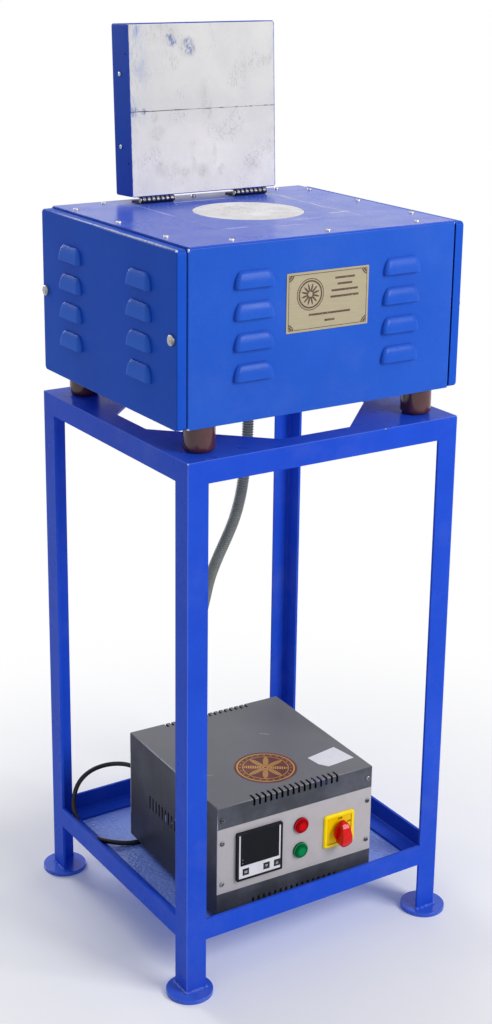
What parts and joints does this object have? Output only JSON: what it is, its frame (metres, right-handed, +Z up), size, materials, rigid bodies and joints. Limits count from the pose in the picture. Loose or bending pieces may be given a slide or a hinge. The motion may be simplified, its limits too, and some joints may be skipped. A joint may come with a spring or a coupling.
{
  "type": "electric gold melting furnace",
  "caption": "Top-loading electric crucible furnace with a hinged lid on an angle-iron stand, wired by a ribbed conduit to a temperature control box on the tray below.",
  "frame": {"origin": "on the floor under the centre of the stand", "axes": "+Z up, the front with the data plate and the controls faces -Y, +X to the right seen from the front"},
  "size_m": [0.615, 0.5798, 1.667],
  "materials": {
    "stand_paint": "gloss blue paint over angle iron, drips and weld beads",
    "casing_paint": "satin blue paint on sheet steel, chipped at the folded corners",
    "top_paint": "blue paint with a worn, scratched sheen",
    "foot_brown": "glossy reddish-brown turned feet",
    "bright_steel": "bright plated fasteners",
    "plate_cream": "cream printed metal plate",
    "insulation": "light fibre insulation",
    "fibre_board": "white fibre board, scuffed",
    "refractory": "porous refractory brick",
    "element_alloy": "oxidised resistance wire",
    "graphite": "dark graphite",
    "ceramic_terminal": "glazed terminal block",
    "box_grey": "dark grey fine-texture powder coat",
    "fascia_grey": "light grey powder coat",
    "black_plastic": "black moulding",
    "box_rubber": "black rubber",
    "window_black": "dark display window",
    "key_black": "black soft key",
    "lens_red": "red lamp lens",
    "lens_green": "green lamp lens",
    "switch_yellow": "yellow switch plate",
    "knob_red": "red switch knob",
    "cord_black": "black flexible cord",
    "conduit_grey": "dull ribbed metal hose"
  },
  "bodies": {
    "root": {"leg_front_left": "stand_paint", "leg_front_right": "stand_paint", "leg_rear_left": "stand_paint", "leg_rear_right": "stand_paint", "top_rails_front_rear": "stand_paint", "top_rails_sides": "stand_paint", "lower_rails_front_rear": "stand_paint", "lower_rails_sides": "stand_paint", "foot_plates": "stand_paint", "tray_floor": "stand_paint", "corner_gussets": "stand_paint", "front_panel": "casing_paint", "casing_wrap": "casing_paint", "side_cover_left": "casing_paint", "side_cover_right": "casing_paint", "base_plate": "casing_paint", "hinge_plate_leaves": "casing_paint", "top_plate": "top_paint", "furnace_feet": "foot_brown", "top_plate_screws": "bright_steel", "side_cover_bolts": "bright_steel", "hinge_pins": "bright_steel", "control_screws": "bright_steel", "thermocouple": "bright_steel", "conduit_glands": "bright_steel", "data_plate": "plate_cream", "insulation_block": "insulation", "chamber_liner": "refractory", "chamber_hearth": "refractory", "heating_element": "element_alloy", "crucible": "graphite", "terminal_block": "ceramic_terminal", "control_cover": "box_grey", "control_base": "box_grey", "control_fascia": "fascia_grey", "control_rear_panel": "fascia_grey", "meter_case": "black_plastic", "lamp_bezels": "black_plastic", "switch_body": "black_plastic", "power_relay": "black_plastic", "mains_gland": "black_plastic", "mains_plug": "black_plastic", "control_feet": "box_rubber", "meter_window": "window_black", "lamp_red": "lens_red", "lamp_green": "lens_green", "switch_plate": "switch_yellow", "mains_cord": "cord_black", "mains_cord_coil": "cord_black", "conduit": "conduit_grey"},
    "lid": {"lid_shell": "casing_paint", "lid_boards": "fibre_board", "lid_screws": "bright_steel", "lid_handle": "casing_paint", "hinge_lid_leaves": "casing_paint"},
    "plug": {"mouth_plug": "fibre_board"},
    "knob": {"switch_knob": "knob_red"},
    "key_mode": {"key_mode": "key_black"},
    "key_down": {"key_down": "key_black"},
    "key_up": {"key_up": "key_black"}
  },
  "joints": [
    {"name": "lid_hinge", "type": "hinge", "parent": "root", "child": "lid", "pos_m": [0.019, 0.181, 1.35455], "axis": [1, 0, 0], "range_deg": [0, 92.6]},
    {"name": "plug_lift", "type": "slide", "parent": "root", "child": "plug", "axis": [0, 0, -1], "range_m": [-0.12, 0]},
    {"name": "switch_turn", "type": "hinge", "parent": "root", "child": "knob", "pos_m": [0.06124, -0.23976, 0.2265], "axis": [0.0349, 0.9994, 0], "range_deg": [0, 90]},
    {"name": "key_mode_press", "type": "slide", "parent": "root", "child": "key_mode", "axis": [0.0349, 0.9994, 0], "range_m": [0, 0.0008], "stiffness_N_per_m": 300},
    {"name": "key_down_press", "type": "slide", "parent": "root", "child": "key_down", "axis": [0.0349, 0.9994, 0], "range_m": [0, 0.0008], "stiffness_N_per_m": 300},
    {"name": "key_up_press", "type": "slide", "parent": "root", "child": "key_up", "axis": [0.0349, 0.9994, 0], "range_m": [0, 0.0008], "stiffness_N_per_m": 300}
  ]
}
